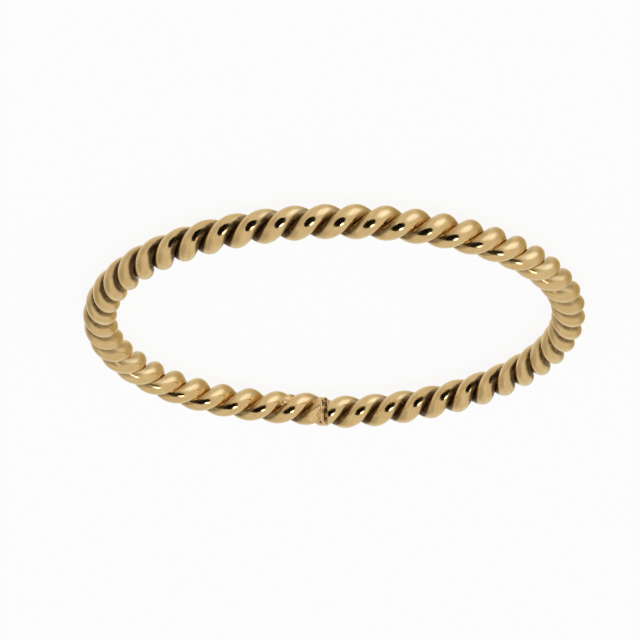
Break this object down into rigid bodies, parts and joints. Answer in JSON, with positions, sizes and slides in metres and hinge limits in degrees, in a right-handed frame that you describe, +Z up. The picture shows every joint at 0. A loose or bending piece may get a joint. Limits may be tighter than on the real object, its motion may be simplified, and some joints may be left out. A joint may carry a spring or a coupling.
{
  "type": "rope twist ring",
  "caption": "Finger ring of round gold wires twisted into a tight left-laid rope, bent into a closed band and soldered where its cut ends meet.",
  "frame": {"origin": "centre of the ring's footprint, on the surface that the ring lies on", "axes": "+Z up, along the axis of the finger hole; +Y towards the soldered seam; +X to the right seen from the side opposite the seam"},
  "size_m": [0.0195, 0.0196, 0.0014],
  "materials": {
    "gold_wire": "polished yellow gold with dark tarnish in the grooves",
    "gold_solder": "filed gold solder, duller and paler than the wire"
  },
  "bodies": {
    "root": {"wire_a": "gold_wire", "wire_b": "gold_wire", "solder_joint": "gold_solder"}
  },
  "joints": []
}
